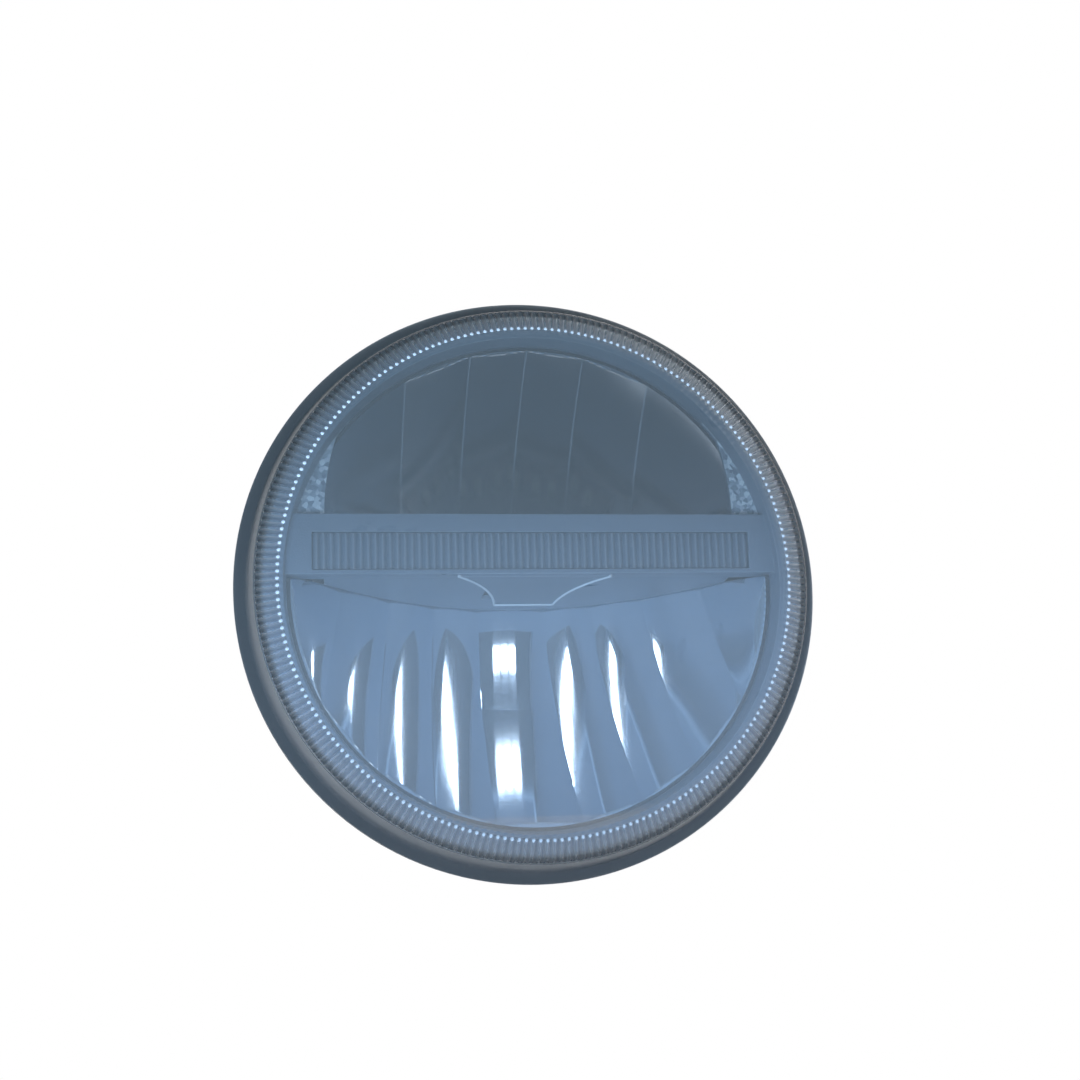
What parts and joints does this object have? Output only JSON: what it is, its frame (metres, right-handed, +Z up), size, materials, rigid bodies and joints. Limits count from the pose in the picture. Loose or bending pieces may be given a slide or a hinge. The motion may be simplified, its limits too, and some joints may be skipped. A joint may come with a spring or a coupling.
{
  "type": "motorcycle headlight",
  "caption": "Round motorcycle headlight unit with a fluted smoked lens, half-bowl reflectors above and below a ribbed light bar, a finned heat sink and a rear plug socket.",
  "frame": {"origin": "centre of the seat face of the mounting flange, on the lamp's axis", "axes": "the light shines along -Y, +Y points to the rear, +Z is up as fitted and +X is right seen from the front"},
  "size_m": [0.178, 0.112, 0.178],
  "materials": {
    "smoked_clear": "clear moulded polycarbonate with a light smoke-blue tint",
    "clear_strip": "smoked moulded strip, ribbed, satin back",
    "bezel_plastic": "fine grain, slate grey",
    "metallised": "vacuum-metallised moulding",
    "housing_plastic": "moulded black, satin",
    "cast_aluminium": "die-cast, blasted",
    "seal_rubber": "matt black",
    "circuit_board": "solder mask",
    "black_board": "black solder mask",
    "diode": "phosphor window",
    "ferrite": "moulded choke",
    "capacitor_can": "drawn can",
    "plated_blade": "tin-plated",
    "screw_steel": "zinc-plated"
  },
  "bodies": {
    "root": {"lens": "smoked_clear", "lens_seal": "seal_rubber", "inner_bezel": "bezel_plastic", "position_light_bar": "clear_strip", "position_light_board": "black_board", "position_leds": "diode", "upper_reflector": "metallised", "lower_reflector": "metallised", "low_beam_board": "black_board", "low_beam_leds": "diode", "high_beam_board": "black_board", "high_beam_leds": "diode", "heat_sink": "cast_aluminium", "heat_sink_gasket": "seal_rubber", "rear_housing": "housing_plastic", "driver_board": "circuit_board", "driver_coil": "ferrite", "driver_capacitors": "capacitor_can", "connector_socket": "housing_plastic", "connector_seal": "seal_rubber", "connector_terminals": "plated_blade", "vent_cap": "seal_rubber", "bezel_screws": "screw_steel", "reflector_screws": "screw_steel", "board_screws": "screw_steel", "driver_screws": "screw_steel", "heat_sink_screws": "screw_steel", "connector_screws": "screw_steel"}
  },
  "joints": []
}
